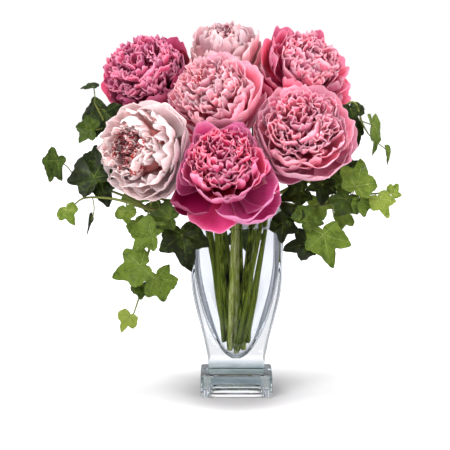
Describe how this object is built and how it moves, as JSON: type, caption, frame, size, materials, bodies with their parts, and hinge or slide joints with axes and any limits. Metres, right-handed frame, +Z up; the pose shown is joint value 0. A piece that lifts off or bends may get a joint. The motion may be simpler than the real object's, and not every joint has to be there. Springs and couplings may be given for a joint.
{
  "type": "peonies in a vase",
  "caption": "Bouquet of ruffled pink peonies with trailing ivy, standing in water in a tall flared square glass vase on a thick square foot.",
  "frame": {"origin": "middle of the flat underside of the vase's square foot", "axes": "+Z up, -Y towards the side that the front bloom faces, +X to the right of someone facing that side"},
  "size_m": [0.4497, 0.2705, 0.4615],
  "materials": {
    "clear_glass": "polished, clear",
    "water": "clear liquid",
    "peony_front_hot_pink": "hot pink petals, paler at the edges",
    "peony_left_blush": "blush petals with dark red flecks at the heart",
    "peony_right_mid_pink": "mid pink petals, paler at the edges",
    "peony_upper_right_rose": "rose petals, paler at the edges",
    "peony_middle_light_pink": "light pink petals",
    "peony_top_pale_pink": "pale pink petals",
    "peony_upper_left_magenta": "deep magenta petals, paler at the edges",
    "stem_green": "smooth fresh green stem and leaf",
    "ivy_green": "leathery ivy leaf with a slight gloss"
  },
  "bodies": {
    "root": {"glass_vase": "clear_glass", "water": "water", "peony_front_hot_pink": "peony_front_hot_pink", "peony_left_blush": "peony_left_blush", "peony_right_mid_pink": "peony_right_mid_pink", "peony_upper_right_rose": "peony_upper_right_rose", "peony_middle_light_pink": "peony_middle_light_pink", "peony_top_pale_pink": "peony_top_pale_pink", "peony_upper_left_magenta": "peony_upper_left_magenta", "stem_front_hot_pink": "stem_green", "stem_left_blush": "stem_green", "stem_right_mid_pink": "stem_green", "stem_upper_right_rose": "stem_green", "stem_middle_light_pink": "stem_green", "stem_top_pale_pink": "stem_green", "stem_upper_left_magenta": "stem_green", "ivy_upper_left": "ivy_green", "ivy_left": "ivy_green", "ivy_left_tip": "ivy_green", "ivy_lower_left": "ivy_green", "ivy_upper_right": "ivy_green", "ivy_right": "ivy_green", "ivy_lower_right": "ivy_green", "ivy_back_left": "ivy_green", "ivy_back_right": "ivy_green", "ivy_back": "ivy_green"}
  },
  "joints": []
}
